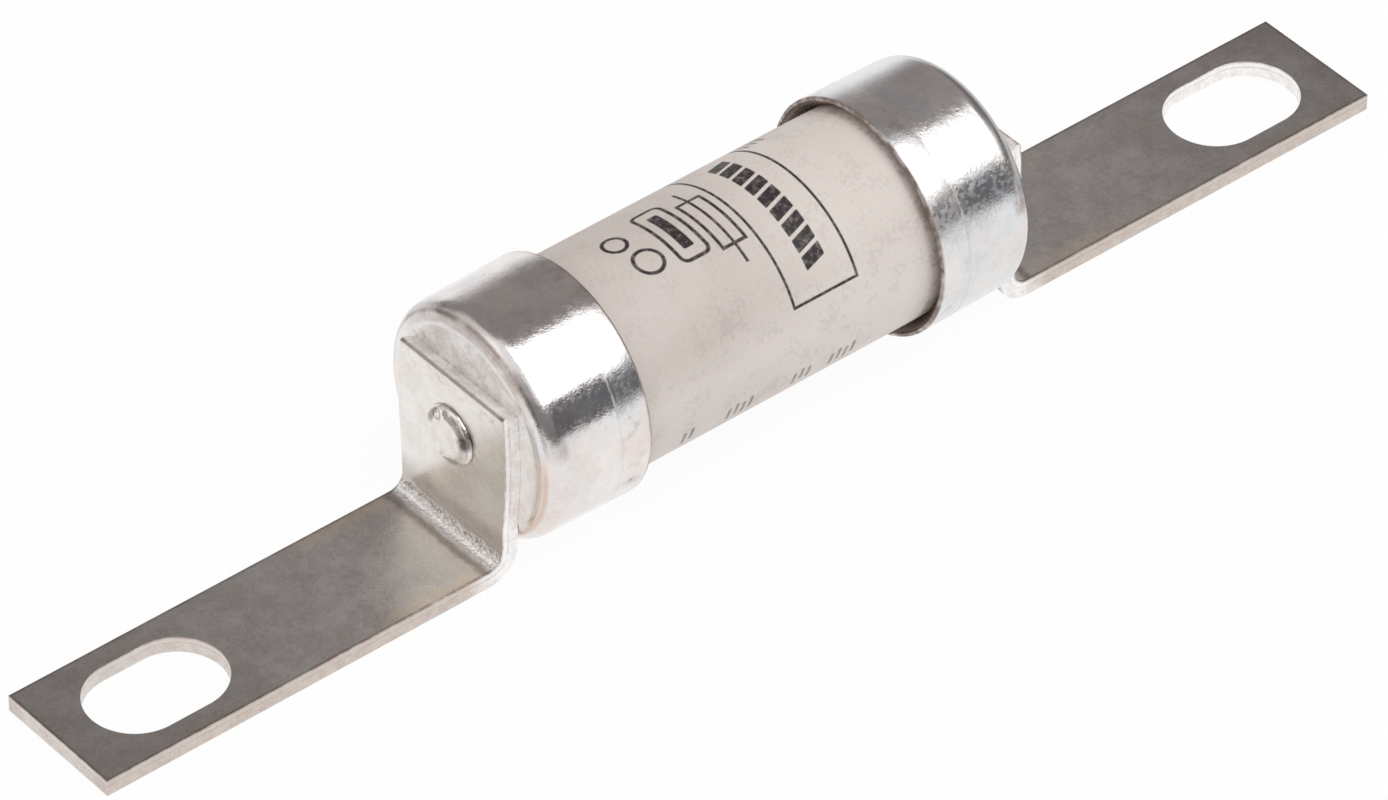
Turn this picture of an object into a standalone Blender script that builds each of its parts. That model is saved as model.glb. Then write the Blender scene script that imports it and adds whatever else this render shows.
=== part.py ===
"""Cartridge fuse link with bolted tags: a ceramic barrel, two drawn end caps, two folded tags and what is inside.

The barrel lies along X. Z is up, and the tags' undersides lie in the plane z = 0.
The origin is at the middle of the part, on that plane. All sizes are in metres.
"""

import math

import bmesh
import bpy
from mathutils import Matrix, Vector

# Driving dimensions of the whole link
FIXING_CENTRES = 0.0730       # between the middles of the two bolt slots
BODY_LENGTH = 0.0280          # ceramic barrel, end to end
BODY_DIAMETER = 0.0122        # ceramic barrel, outside
CAP_GROUND_CLEARANCE = 0.0003  # from the tags' underside plane up to the caps

# Ceramic barrel
BODY_WALL = 0.0017
BODY_CHAMFER = 0.0003

# Clearances between pieces
SEAT_GAP = 0.0001             # between faces that are pressed, welded or soldered together
SLOT_GAP = 0.00015            # round the element where it passes through a piece
CAP_MOUTH_GAP = 0.00034       # radial, between the barrel and the mouth of a cap

# Drawn end caps
CAP_WALL = 0.00042
CAP_FLOOR = 0.0005
CAP_GRIP = 0.00425            # how far a cap reaches over the barrel
CAP_TAPER = 0.00012           # how much the radius shrinks from the mouth to the floor
CAP_EDGE_RADIUS = 0.00115     # outside, between floor and wall
CAP_LIP_RADIUS = 0.00012      # rounding of the mouth's outer edge

# Tags
TAG_WIDTH = 0.00815
TAG_THICKNESS = 0.0010
TAG_END_MARGIN = 0.0062       # from the slot's middle to the tag's end
TAG_BEND_RADIUS = 0.0009      # inside of the fold
LEG_ABOVE_AXIS = 0.00378      # from the barrel's axis up to the leg's top
TAG_EDGE_BREAK = 0.00008      # small chamfer on the sheared edges
SLOT_LENGTH = 0.0081
SLOT_WIDTH = 0.0056

# Rivets
RIVET_HEAD_DIAMETER = 0.0036
RIVET_HEAD_HEIGHT = 0.00035
RIVET_SHANK_DIAMETER = 0.0020
RIVET_TAIL_DIAMETER = 0.0032
RIVET_TAIL_HEIGHT = 0.00035
RIVET_EDGE_RADIUS = 0.00016

# Stack between the barrel's end and the cap's floor
WASHER_THICKNESS = 0.00035
WASHER_HOLE_GAP = 0.0018      # from the element's edge out to the washer's hole
WASHER_INSET = 0.0001         # how far its rim stays inside the barrel's outside
DISC_THICKNESS = 0.0003
DISC_INSET = 0.0004
SOLDER_THICKNESS = 0.00072
SOLDER_DIAMETER = 0.0094
SOLDER_WIDTH = 0.0020         # from the ring's outside in to its hole

# Fuse element
ELEMENT_WIDTH = 0.0024
ELEMENT_THICKNESS = 0.00015
ELEMENT_BEND_RADIUS = 0.00015
ELEMENT_TAIL_GAP = 0.0008     # from a tail's free end out to the solder ring's hole
NECK_WIDTH = 0.0007           # metal left between a pair of notches
NECK_PITCH = 0.0030
NECKS_EACH_SIDE = 3
TIN_SPOT_DIAMETER = 0.0015
TIN_SPOT_HEIGHT = 0.0005
TIN_SPOT_GAP = 0.00005

# Quartz filler
FILLER_WALL_GAP = 0.0001
FILLER_END_GAP = 0.0002

# How finely round shapes are made
CAP_STEPS = 56
BODY_STEPS = 56
SMALL_STEPS = 32
NOTCH_STEPS = 20
BEND_SEGMENTS = 8
EDGE_SEGMENTS = 6
CUTTER_REACH = 4              # a cutter's length, in thicknesses of the wall it goes through
MERGE = 0.000001

# Places worked out from the sizes above
BORE_RADIUS = BODY_DIAMETER / 2 - BODY_WALL
SOLDER_HOLE_RADIUS = SOLDER_DIAMETER / 2 - SOLDER_WIDTH
ELEMENT_TAIL = SOLDER_HOLE_RADIUS - ELEMENT_TAIL_GAP
WASHER_IN = BODY_LENGTH / 2 + SEAT_GAP
DISC_IN = WASHER_IN + WASHER_THICKNESS + SEAT_GAP
DISC_OUT = DISC_IN + DISC_THICKNESS
SOLDER_IN = DISC_OUT + SEAT_GAP
CAP_FLOOR_IN = SOLDER_IN + SOLDER_THICKNESS + SEAT_GAP
CAP_FLOOR_OUT = CAP_FLOOR_IN + CAP_FLOOR
CAP_MOUTH = BODY_LENGTH / 2 - CAP_GRIP
CAP_MOUTH_INNER_RADIUS = BODY_DIAMETER / 2 + CAP_MOUTH_GAP
CAP_MOUTH_RADIUS = CAP_MOUTH_INNER_RADIUS + CAP_WALL
AXIS_HEIGHT = CAP_MOUTH_RADIUS + CAP_GROUND_CLEARANCE
LEG_BACK = CAP_FLOOR_OUT + SEAT_GAP
LEG_FRONT = LEG_BACK + TAG_THICKNESS
LEG_TOP = AXIS_HEIGHT + LEG_ABOVE_AXIS
TAG_END = FIXING_CENTRES / 2 + TAG_END_MARGIN
RIVET_HOLE_RADIUS = RIVET_SHANK_DIAMETER / 2 + SEAT_GAP
SIDES = {"left": -1, "right": 1}

for old in list(bpy.data.objects):
    bpy.data.objects.remove(old)

parts = bpy.data.collections.new("fuse_link")
cutters = bpy.data.collections.new("fuse_link_cutters")
bpy.context.scene.collection.children.link(parts)
bpy.context.scene.collection.children.link(cutters)


def make_material(name, colour, roughness, metallic):
    """One Principled material with a plain colour and finish."""
    material = bpy.data.materials.new(name)
    material.use_nodes = True
    shader = material.node_tree.nodes["Principled BSDF"]
    shader.inputs["Base Color"].default_value = (*colour, 1.0)
    shader.inputs["Roughness"].default_value = roughness
    shader.inputs["Metallic"].default_value = metallic
    return material


CERAMIC = make_material("glazed_ceramic", (0.69, 0.64, 0.60), 0.35, 0.0)
TINNED_CAP = make_material("tinned_cap", (0.80, 0.79, 0.77), 0.25, 1.0)
TINNED_TAG = make_material("tinned_tag", (0.62, 0.60, 0.57), 0.40, 1.0)
RIVET_METAL = make_material("rivet_metal", (0.72, 0.70, 0.67), 0.40, 1.0)
BRASS = make_material("disc_brass", (0.72, 0.55, 0.27), 0.35, 1.0)
FIBRE = make_material("washer_fibre", (0.42, 0.30, 0.20), 0.80, 0.0)
SOLDER = make_material("solder", (0.60, 0.60, 0.60), 0.45, 1.0)
SILVER = make_material("element_silver", (0.86, 0.84, 0.80), 0.25, 1.0)
TIN = make_material("tin", (0.66, 0.67, 0.68), 0.40, 1.0)
QUARTZ = make_material("quartz_sand", (0.78, 0.73, 0.64), 0.90, 0.0)


def add_object(name, mesh, material):
    """Puts a finished mesh into the parts' collection as one named piece."""
    obj = bpy.data.objects.new(name, mesh)
    mesh.materials.append(material)
    parts.objects.link(obj)
    return obj


def add_cutter(name, mesh):
    """Puts a mesh into the cutters' collection, where it is never rendered."""
    obj = bpy.data.objects.new(name, mesh)
    obj.hide_render = True
    obj.display_type = "WIRE"
    cutters.objects.link(obj)
    return obj


def cut(obj, cutter):
    """Takes a cutter's shape out of a piece."""
    modifier = obj.modifiers.new("cut_" + cutter.name, "BOOLEAN")
    modifier.operation = "DIFFERENCE"
    modifier.object = cutter


def smooth(mesh, degrees=35):
    """Smooth shading that keeps the edges sharper than the given angle."""
    mesh.shade_smooth()
    mesh.set_sharp_from_angle(angle=math.radians(degrees))


def along_x(side):
    """Turns a shape that was made round Z so that its top points away from the link's middle."""
    turn = Matrix.Rotation(side * math.pi / 2, 4, "Y")
    return Matrix.Translation((0, 0, AXIS_HEIGHT)) @ turn


def arc(centre, radius, start, end, segments):
    """Points of an arc, both ends included, with angles in degrees."""
    points = []
    for i in range(segments + 1):
        angle = math.radians(start + (end - start) * i / segments)
        points.append((centre[0] + radius * math.cos(angle), centre[1] + radius * math.sin(angle)))
    return points


def turned(name, profile, closed, steps, material):
    """A piece turned round Z from (radius, height) points that run down its outer side."""
    mesh = bpy.data.meshes.new(name)
    ring = bmesh.new()
    verts = [ring.verts.new((radius, 0, height)) for radius, height in profile]
    for first, second in zip(verts, verts[1:]):
        ring.edges.new((first, second))
    if closed:
        ring.edges.new((verts[-1], verts[0]))
    ring.to_mesh(mesh)
    ring.free()
    obj = add_object(name, mesh, material)
    screw = obj.modifiers.new("turn", "SCREW")
    screw.axis = "Z"
    screw.steps = steps
    screw.render_steps = steps
    screw.use_merge_vertices = True
    screw.merge_threshold = MERGE
    screw.use_smooth_shade = True
    return obj


def box_mesh(name, low, high):
    """A box between two corners."""
    mesh = bpy.data.meshes.new(name)
    shape = bmesh.new()
    size = [b - a for a, b in zip(low, high)]
    middle = [(a + b) / 2 for a, b in zip(low, high)]
    place = Matrix.Translation(middle) @ Matrix.Diagonal((*size, 1))
    bmesh.ops.create_cube(shape, size=1, matrix=place)
    shape.to_mesh(mesh)
    shape.free()
    return mesh


def cylinder_mesh(name, radius, height, place, steps):
    """A cylinder round its own Z, put where the matrix says."""
    mesh = bpy.data.meshes.new(name)
    shape = bmesh.new()
    bmesh.ops.create_cone(shape, cap_ends=True, segments=steps, radius1=radius, radius2=radius,
                          depth=height, matrix=place)
    shape.to_mesh(mesh)
    shape.free()
    return mesh


def stadium_mesh(name, length, width, height, middle, steps):
    """A slot-shaped block along X with round ends, from a filled 2D curve with an extrusion."""
    radius = width / 2
    reach = length / 2 - radius
    outline = arc((reach, 0), radius, -90, 90, steps) + arc((-reach, 0), radius, 90, 270, steps)
    curve = bpy.data.curves.new(name, "CURVE")
    curve.dimensions = "2D"
    curve.fill_mode = "BOTH"
    curve.extrude = height / 2
    spline = curve.splines.new("POLY")
    spline.points.add(len(outline) - 1)
    for point, (x, y) in zip(spline.points, outline):
        point.co = (x, y, 0, 1)
    spline.use_cyclic_u = True
    guide = bpy.data.objects.new(name + "_outline", curve)
    cutters.objects.link(guide)
    bpy.context.view_layer.update()
    evaluated = guide.evaluated_get(bpy.context.evaluated_depsgraph_get())
    mesh = bpy.data.meshes.new_from_object(evaluated)
    bpy.data.objects.remove(guide)
    shape = bmesh.new()
    shape.from_mesh(mesh)
    bmesh.ops.remove_doubles(shape, verts=shape.verts, dist=MERGE)
    bmesh.ops.translate(shape, verts=shape.verts, vec=middle)
    shape.to_mesh(mesh)
    shape.free()
    return mesh


def folded_strip(name, path, width, thickness, material):
    """A strip bent along a path of (x, z) points: an open sheet given its thickness by Solidify.

    Seen with X to the right and Z up, the path's right-hand side is outside and its left-hand side is metal.
    """
    mesh = bpy.data.meshes.new(name)
    sheet = bmesh.new()
    verts = [sheet.verts.new((x, -width / 2, z)) for x, z in path]
    edges = [sheet.edges.new(pair) for pair in zip(verts, verts[1:])]
    grown = bmesh.ops.extrude_edge_only(sheet, edges=edges)["geom"]
    far = [item for item in grown if isinstance(item, bmesh.types.BMVert)]
    bmesh.ops.translate(sheet, verts=far, vec=(0, width, 0))
    for face in sheet.faces:
        run_x, run_z = path_direction(path, face.calc_center_median())
        face.normal_update()
        if face.normal.dot(Vector((run_z, 0, -run_x))) < 0:
            face.normal_flip()
    sheet.to_mesh(mesh)
    sheet.free()
    obj = add_object(name, mesh, material)
    shell = obj.modifiers.new("thickness", "SOLIDIFY")
    shell.thickness = thickness
    shell.offset = -1
    shell.use_even_offset = True
    return obj


def path_direction(path, point):
    """The path's direction, as (x, z), on the stretch nearest to a point."""
    nearest = None
    for (x0, z0), (x1, z1) in zip(path, path[1:]):
        distance = math.hypot((x0 + x1) / 2 - point.x, (z0 + z1) / 2 - point.z)
        if nearest is None or distance < nearest[0]:
            nearest = (distance, x1 - x0, z1 - z0)
    length = math.hypot(nearest[1], nearest[2])
    return nearest[1] / length, nearest[2] / length


def make_ceramic_body():
    """The barrel: a thick ceramic tube with chamfered ends."""
    outer = BODY_DIAMETER / 2
    inner = BORE_RADIUS
    half = BODY_LENGTH / 2
    profile = [
        (inner, half), (outer - BODY_CHAMFER, half), (outer, half - BODY_CHAMFER),
        (outer, -half + BODY_CHAMFER), (outer - BODY_CHAMFER, -half), (inner, -half),
    ]
    body = turned("ceramic_body", profile, True, BODY_STEPS, CERAMIC)
    body.matrix_world = along_x(1)


def cap_profile():
    """Half section of a cap as (radius, x), from the hole in the floor round the wall and back inside."""
    floor_radius = CAP_MOUTH_RADIUS - CAP_TAPER
    floor_inner = floor_radius - CAP_WALL
    edge = CAP_EDGE_RADIUS
    inner_edge = max(edge - CAP_WALL, CAP_WALL / 4)
    lip = min(CAP_LIP_RADIUS, CAP_WALL / 2)
    outside = arc((floor_radius - edge, CAP_FLOOR_OUT - edge), edge, 90, 0, EDGE_SEGMENTS)
    mouth = arc((CAP_MOUTH_RADIUS - lip, CAP_MOUTH + lip), lip, 0, -90, EDGE_SEGMENTS)
    inside = arc((floor_inner - inner_edge, CAP_FLOOR_IN - inner_edge), inner_edge, 0, 90, EDGE_SEGMENTS)
    return (
        [(RIVET_HOLE_RADIUS, CAP_FLOOR_OUT)] + outside + mouth
        + [(CAP_MOUTH_INNER_RADIUS, CAP_MOUTH)] + inside + [(RIVET_HOLE_RADIUS, CAP_FLOOR_IN)]
    )


def make_end_cap(end, side):
    """A drawn cup with a slight draft, a round edge and a hole for the rivet in its floor."""
    cap = turned("end_cap_" + end, cap_profile(), True, CAP_STEPS, TINNED_CAP)
    cap.matrix_world = along_x(side)


def tag_path(side):
    """The face of the tag that shows, from its outer end over the fold to the leg's top."""
    centre = (LEG_FRONT + TAG_BEND_RADIUS, TAG_THICKNESS + TAG_BEND_RADIUS)
    fold = arc(centre, TAG_BEND_RADIUS, 270, 180, BEND_SEGMENTS)
    path = [(TAG_END, TAG_THICKNESS)] + fold + [(LEG_FRONT, LEG_TOP)]
    if side > 0:
        return path
    return [(-x, z) for x, z in reversed(path)]


def make_tag(end, side):
    """A tag: one strip folded into plate and leg, with the bolt's slot and the rivet's hole."""
    tag = folded_strip("tag_" + end, tag_path(side), TAG_WIDTH, TAG_THICKNESS, TINNED_TAG)
    edges = tag.modifiers.new("sheared_edges", "BEVEL")
    edges.width = TAG_EDGE_BREAK
    edges.segments = 1
    edges.limit_method = "ANGLE"
    edges.angle_limit = math.radians(50)
    middle = (side * FIXING_CENTRES / 2, 0, TAG_THICKNESS / 2)
    reach = CUTTER_REACH * TAG_THICKNESS
    slot = stadium_mesh("slot_" + end, SLOT_LENGTH, SLOT_WIDTH, reach, middle, SMALL_STEPS // 2)
    cut(tag, add_cutter("slot_" + end, slot))
    place = along_x(side) @ Matrix.Translation((0, 0, (LEG_BACK + LEG_FRONT) / 2))
    hole = cylinder_mesh("rivet_hole_" + end, RIVET_HOLE_RADIUS, reach, place, SMALL_STEPS)
    cut(tag, add_cutter("rivet_hole_" + end, hole))


def make_rivet(end, side):
    """A rivet through leg and cap: a low round-edged head outside, a flat tail inside."""
    head_base = LEG_FRONT + SEAT_GAP
    head_top = head_base + RIVET_HEAD_HEIGHT
    tail_base = CAP_FLOOR_IN - SEAT_GAP
    tail_top = tail_base - RIVET_TAIL_HEIGHT
    head = RIVET_HEAD_DIAMETER / 2
    shank = RIVET_SHANK_DIAMETER / 2
    tail = RIVET_TAIL_DIAMETER / 2
    edge = min(RIVET_EDGE_RADIUS, RIVET_HEAD_HEIGHT / 2)
    profile = (
        [(0, head_top)] + arc((head - edge, head_top - edge), edge, 90, 0, EDGE_SEGMENTS)
        + [(head, head_base), (shank, head_base), (shank, tail_base), (tail, tail_base), (tail, tail_top), (0, tail_top)]
    )
    rivet = turned("rivet_" + end, profile, False, SMALL_STEPS, RIVET_METAL)
    rivet.matrix_world = along_x(side)


def make_sealing_washer(end, side):
    """A fibre washer that closes the barrel's end round the element."""
    outer = BODY_DIAMETER / 2 - WASHER_INSET
    inner = ELEMENT_WIDTH / 2 + WASHER_HOLE_GAP
    top = WASHER_IN + WASHER_THICKNESS
    profile = [(inner, top), (outer, top), (outer, WASHER_IN), (inner, WASHER_IN)]
    washer = turned("sealing_washer_" + end, profile, True, SMALL_STEPS, FIBRE)
    washer.matrix_world = along_x(side)


def element_cutter(name, low_x, high_x):
    """A box along the axis that leaves room for the element."""
    half_width = ELEMENT_WIDTH / 2 + SLOT_GAP
    low = (low_x, -half_width, AXIS_HEIGHT - ELEMENT_THICKNESS - SLOT_GAP)
    high = (high_x, half_width, AXIS_HEIGHT + SLOT_GAP)
    return add_cutter(name, box_mesh(name, low, high))


def make_contact_disc(end, side):
    """A metal disc with a slot in its middle for the element's tail."""
    place = along_x(side) @ Matrix.Translation((0, 0, (DISC_IN + DISC_OUT) / 2))
    radius = BODY_DIAMETER / 2 - DISC_INSET
    mesh = cylinder_mesh("contact_disc_" + end, radius, DISC_THICKNESS, place, SMALL_STEPS)
    disc = add_object("contact_disc_" + end, mesh, BRASS)
    middle = side * (DISC_IN + DISC_OUT) / 2
    reach = CUTTER_REACH * DISC_THICKNESS
    cut(disc, element_cutter("disc_slot_" + end, middle - reach / 2, middle + reach / 2))


def make_solder_ring(end, side):
    """The ring of solder between the disc and the cap's floor, round the rivet's tail."""
    outer = SOLDER_DIAMETER / 2
    inner = SOLDER_HOLE_RADIUS
    top = SOLDER_IN + SOLDER_THICKNESS
    slope = SOLDER_THICKNESS / 3
    profile = [(inner, top), (outer, top), (outer - slope, SOLDER_IN), (inner + slope, SOLDER_IN)]
    ring = turned("solder_ring_" + end, profile, True, SMALL_STEPS, SOLDER)
    ring.matrix_world = along_x(side)


def element_path():
    """The element's upper face, from the top of the right tail along the barrel to the top of the left one."""
    tail = DISC_OUT + SEAT_GAP
    radius = ELEMENT_BEND_RADIUS
    top = AXIS_HEIGHT + ELEMENT_TAIL
    right = [(tail, top)] + arc((tail - radius, AXIS_HEIGHT + radius), radius, 0, -90, EDGE_SEGMENTS)
    left = [(-x, z) for x, z in reversed(right)]
    return right + left


def make_fuse_element():
    """The element: a thin strip along the axis with pairs of round notches and folded tails."""
    element = folded_strip("fuse_element", element_path(), ELEMENT_WIDTH, ELEMENT_THICKNESS, SILVER)
    radius = (ELEMENT_WIDTH - NECK_WIDTH) / 2
    reach = CUTTER_REACH * ELEMENT_THICKNESS
    for number in range(NECKS_EACH_SIDE):
        for end, side in SIDES.items():
            for edge in (-1, 1):
                x = side * (number + 0.5) * NECK_PITCH
                place = Matrix.Translation((x, edge * ELEMENT_WIDTH / 2, AXIS_HEIGHT - ELEMENT_THICKNESS / 2))
                name = "notch_{}_{}_{}".format(number + 1, end, "near" if edge < 0 else "far")
                cut(element, add_cutter(name, cylinder_mesh(name, radius, reach, place, NOTCH_STEPS)))


def make_tin_spot():
    """The tin bead on the element's middle, a short round pad with a rounded top."""
    radius = TIN_SPOT_DIAMETER / 2
    base = AXIS_HEIGHT + TIN_SPOT_GAP
    top = base + TIN_SPOT_HEIGHT
    edge = TIN_SPOT_HEIGHT / 2
    profile = [(0, top)] + arc((radius - edge, top - edge), edge, 90, 0, EDGE_SEGMENTS) + [(radius, base), (0, base)]
    turned("tin_spot", profile, False, SMALL_STEPS, TIN)


def make_quartz_filler():
    """The packed sand, with the channel that the element lies in and the pocket of the tin bead."""
    half = BODY_LENGTH / 2 - FILLER_END_GAP
    radius = BORE_RADIUS - FILLER_WALL_GAP
    mesh = cylinder_mesh("quartz_filler", radius, 2 * half, along_x(1), SMALL_STEPS)
    filler = add_object("quartz_filler", mesh, QUARTZ)
    cut(filler, element_cutter("element_channel", -BODY_LENGTH, BODY_LENGTH))
    pocket = TIN_SPOT_DIAMETER / 2 + SLOT_GAP
    roof = AXIS_HEIGHT + TIN_SPOT_GAP + TIN_SPOT_HEIGHT + SLOT_GAP
    low = (-pocket, -pocket, AXIS_HEIGHT - ELEMENT_THICKNESS / 2)
    cut(filler, add_cutter("tin_pocket", box_mesh("tin_pocket", low, (pocket, pocket, roof))))


make_ceramic_body()
for end, side in SIDES.items():
    make_end_cap(end, side)
    make_tag(end, side)
    make_rivet(end, side)
    make_sealing_washer(end, side)
    make_contact_disc(end, side)
    make_solder_ring(end, side)
make_fuse_element()
make_tin_spot()
make_quartz_filler()

bpy.context.view_layer.update()
for piece in parts.objects:
    smooth(piece.data)
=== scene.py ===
"""Cartridge fuse link with bolted tags, dressed for its picture: barrel, caps, tags, rivets, studio.

The link lies along X on the floor, z = 0. Sizes are in metres.
"""

import math

import bmesh
import bpy
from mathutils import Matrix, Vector, noise as lumps_of


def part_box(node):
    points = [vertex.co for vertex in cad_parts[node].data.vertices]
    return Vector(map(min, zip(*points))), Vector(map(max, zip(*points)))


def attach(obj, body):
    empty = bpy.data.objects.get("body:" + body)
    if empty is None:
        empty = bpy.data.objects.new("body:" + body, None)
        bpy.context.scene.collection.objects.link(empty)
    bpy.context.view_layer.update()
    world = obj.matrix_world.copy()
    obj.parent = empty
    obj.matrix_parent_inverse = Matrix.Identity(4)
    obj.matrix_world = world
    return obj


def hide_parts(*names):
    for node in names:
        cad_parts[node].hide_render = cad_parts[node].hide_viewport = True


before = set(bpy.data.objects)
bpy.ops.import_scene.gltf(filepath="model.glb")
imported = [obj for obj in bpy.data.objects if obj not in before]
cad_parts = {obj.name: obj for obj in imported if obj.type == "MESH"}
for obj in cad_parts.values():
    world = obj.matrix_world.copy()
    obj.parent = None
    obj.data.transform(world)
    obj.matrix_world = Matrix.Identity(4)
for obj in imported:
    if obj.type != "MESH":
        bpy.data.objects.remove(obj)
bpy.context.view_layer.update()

MM = 0.001

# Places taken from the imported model
barrel_low, barrel_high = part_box("ceramic_body")
cap_low, cap_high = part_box("end_cap_right")
tag_low, tag_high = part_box("tag_right")
rivet_low, rivet_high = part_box("rivet_right")
AXIS_HEIGHT = (barrel_low.z + barrel_high.z) / 2
BARREL_RADIUS = (barrel_high.y - barrel_low.y) / 2
CAP_RADIUS = (cap_high.y - cap_low.y) / 2
TAG_WIDTH = tag_high.y - tag_low.y
RIVET_RADIUS = (rivet_high.y - rivet_low.y) / 2

# Sizes of the barrel and the caps
BARREL_WALL = 1.7 * MM
BARREL_EDGE = 0.3 * MM
CAP_WALL = 0.42 * MM
CAP_FLOOR_INSIDE = 15.77 * MM
CAP_TO_LEG = 0.005 * MM
CAP_TAPER = 0.12 * MM
CAP_CORNER = 1.15 * MM
CAP_LIP = 0.14 * MM
MOUTH_WALL = 0.20 * MM
MOUTH_SLOPE = 0.60 * MM
CRIMP_GAP = 0.09 * MM
CAP_RING = 11.6 * MM
RING_WIDTH = 0.16 * MM
RING_DEPTH = 0.013 * MM

# Sizes of the tags
TAG_THICKNESS = 1.0 * MM
LEG_FRONT = 17.37 * MM
LEG_BACK = LEG_FRONT - TAG_THICKNESS
FOLD_RADIUS = 0.9 * MM
FOLD_STEPS = 14
LEG_STEPS = 10
LEG_TOP_SLANT = 0.45 * MM
LEG_TOP_ROUND = 0.28 * MM
LEG_TOP_MATT = 0.6 * MM              # how far down the leg its matt end goes
SHEARED_EDGE = 0.10 * MM
SLOT_MIDDLE = 36.5 * MM
SLOT_LENGTH = 8.1 * MM
SLOT_WIDTH = 5.6 * MM
SLOT_STEPS = 96
LEG_SPREAD = 0.25 * MM
LEG_SPREAD_HEIGHT = 3.0 * MM
CUTTER_LENGTH = 6 * MM
FACE_ON = 0.93                       # how far a face is turned to a way, from 0 to 1
SIDE_ON = 0.4
UPWARD = 0.5

# Sizes of the rivets
RIVET_HOLE = 1.1 * MM
RIVET_HOLE_STEPS = 48
SHANK_RADIUS = 1.0 * MM
TAIL_RADIUS = 1.6 * MM
TAIL_END_RADIUS = 1.5 * MM
HEAD_FOOT = 0.07 * MM                # height of the head's upright foot
HEAD_UNDERCUT = 0.10 * MM
HEAD_SUNK = 0.02 * MM                # how far head and tail reach into what they hold
PRESS_MARK = 0.035 * MM
PRESS_MARK_SIZE = 0.45 * MM
PRESS_MARK_SHARE = 0.8
PRESS_SEED = 1                       # the same lumps each run
FACE_HOLLOW = 0.03 * MM
HOLLOW_SHARE = 0.35                  # shares of the head's radius
SHOULDER_START = 0.64
UNEVEN_FROM = 0.6
UNEVEN_OVER_LEG = 0.05 * MM          # the head is uneven from this far in front of the leg

# How finely round pieces are spun, and how near counts as the same place
BARREL_STEPS = 160
CAP_STEPS = 160
RIVET_STEPS = 64
SHOULDER_STEPS = 6
SHOULDER_TURN = math.pi / 12          # a quarter turn in that many steps
NEAR = 0.01 * MM
WELD = 0.001 * MM

# Places in millimetres, as the finishes count them
AXIS_AT = AXIS_HEIGHT / MM
BARREL_AT = BARREL_RADIUS / MM
CAP_AT = CAP_RADIUS / MM
CAP_FLAT_AT = (CAP_RADIUS - CAP_TAPER - CAP_CORNER) / MM
CORNER_AT = (LEG_BACK - CAP_CORNER) / MM
MOUTH_AT = cap_low.x / MM
RING_AT = CAP_RING / MM
BEND_AT = FOLD_RADIUS / MM
TAG_SIDE_AT = TAG_WIDTH / 2 / MM
TAG_END_AT = tag_high.x / MM
TAG_TOP_AT = tag_high.z / MM
SLOT_SIDE_AT = SLOT_WIDTH / 2 / MM
HEAD_AT = RIVET_RADIUS / MM


# Hand tools for shaping

def put_down():
    """Nothing is selected, and no piece is being edited."""
    if bpy.context.object and bpy.context.object.mode != "OBJECT":
        bpy.ops.object.mode_set(mode="OBJECT")
    bpy.ops.object.select_all(action="DESELECT")


def take_up(piece):
    """Only this piece is selected and active."""
    put_down()
    piece.select_set(True)
    bpy.context.view_layer.objects.active = piece


def settle(piece):
    """The piece's place goes into its mesh, and its object sits at the origin."""
    take_up(piece)
    bpy.ops.object.transform_apply(location=True, rotation=True, scale=True)


def edit(piece):
    take_up(piece)
    bpy.ops.object.mode_set(mode="EDIT")


def choose(piece, what, parts_of, test):
    """Selects those corners, edges or faces that pass the test."""
    bpy.ops.mesh.select_mode(type=what)
    bpy.ops.mesh.select_all(action="DESELECT")
    form = bmesh.from_edit_mesh(piece.data)
    for part in parts_of(form):
        part.select_set(test(part))
    form.select_flush_mode()
    bmesh.update_edit_mesh(piece.data)


def pick_corners(piece, test):
    choose(piece, "VERT", lambda form: form.verts, lambda corner: test(corner.co))


def pick_edges(piece, test):
    """Selects the edges whose middle passes the test."""
    def middle(line):
        return (line.verts[0].co + line.verts[1].co) / 2

    choose(piece, "EDGE", lambda form: form.edges, lambda line: test(middle(line)))


def pick_faces(piece, test):
    """Selects the faces whose middle and outward direction pass the test."""
    choose(piece, "FACE", lambda form: form.faces, lambda face: test(face.calc_center_median(), face.normal))


def near(value, wanted):
    return abs(value - wanted) < NEAR


def finish_with(piece, kind, **settings):
    """Puts one modifier on the piece and applies it."""
    take_up(piece)
    modifier = piece.modifiers.new(kind.lower(), kind)
    for name, value in settings.items():
        setattr(modifier, name, value)
    bpy.ops.object.modifier_apply(modifier=modifier.name)


def block(name, low, high):
    """A block between two corners."""
    put_down()
    bpy.ops.mesh.primitive_cube_add(size=1, location=[(a + b) / 2 for a, b in zip(low, high)])
    piece = bpy.context.object
    piece.name = piece.data.name = name
    piece.scale = [b - a for a, b in zip(low, high)]
    settle(piece)
    return piece


def draw_outline(name, points):
    """A line drawn from point to point, each (distance along X, height above the axis)."""
    places = [Vector((x, 0, AXIS_HEIGHT + r)) for x, r in points]
    put_down()
    bpy.ops.mesh.primitive_plane_add(size=MM, location=places[0])
    piece = bpy.context.object
    piece.name = piece.data.name = name
    settle(piece)
    edit(piece)
    bpy.ops.mesh.select_all(action="SELECT")
    bpy.ops.mesh.merge(type="CENTER")
    for here, there in zip(places, places[1:]):
        bpy.ops.mesh.extrude_region_move(TRANSFORM_OT_translate={"value": there - here})
    return piece


def close_outline():
    """Joins the outline's last point to its first."""
    bpy.ops.mesh.select_all(action="SELECT")
    bpy.ops.mesh.remove_doubles(threshold=WELD)


def round_corner(piece, x, r, size, segments):
    """Rounds the outline's corner at that place."""
    place = Vector((x, 0, AXIS_HEIGHT + r))
    pick_corners(piece, lambda at: (at - place).length < NEAR)
    bpy.ops.mesh.bevel(offset=size, segments=segments, affect="VERTICES")


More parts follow.
